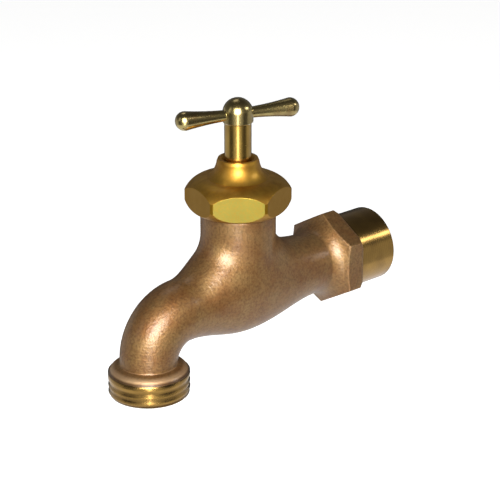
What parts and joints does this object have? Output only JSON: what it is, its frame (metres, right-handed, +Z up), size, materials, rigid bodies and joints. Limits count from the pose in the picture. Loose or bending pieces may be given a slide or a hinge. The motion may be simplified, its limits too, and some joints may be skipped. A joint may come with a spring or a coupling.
{
  "type": "hose bibb tap",
  "caption": "Bent brass hose bibb with a tee handle on a rising stem, a hexagonal packing nut, a plain inlet socket with a wrench hexagon, and a downward threaded hose outlet.",
  "frame": {"origin": "middle of the inlet socket's mouth, on its axis", "axes": "+X out of the inlet, along its axis; +Z up, along the stem; the outlet points down -Z and the part is laid out about the plane Y = 0"},
  "size_m": [0.1131, 0.0348, 0.0923],
  "materials": {
    "cast_brass": "tarnished sand casting, machined at the inlet spigot and the hose thread",
    "nut_brass": "satin, with machined flats",
    "stem_brass": "turned and polished",
    "handle_brass": "tumbled and polished",
    "turned_brass": "turned",
    "packing": "graphited fibre packing",
    "washer_rubber": "moulded",
    "screw_steel": "plain steel"
  },
  "bodies": {
    "casting": {"valve_body": "cast_brass", "packing_nut": "nut_brass", "support_ring": "turned_brass", "packing_rings": "packing", "gland_ring": "turned_brass"},
    "disc": {"seat_washer": "washer_rubber", "washer_cup": "turned_brass"},
    "spindle": {"stem": "stem_brass", "washer_screw": "turned_brass", "tee_handle": "handle_brass", "set_screw": "screw_steel"}
  },
  "joints": [
    {"name": "stem_rise", "type": "slide", "parent": "casting", "child": "disc", "axis": [0, 0, 1], "range_m": [0, 0.0054]},
    {"name": "handle_turn", "type": "hinge", "parent": "disc", "child": "spindle", "pos_m": [-0.0611, 0, 0.03], "axis": [0, 0, 1], "range_deg": [0, 810]}
  ],
  "couplings": [
    {"joint": "handle_turn", "follows": "stem_rise", "rad_per_m": 2618}
  ]
}
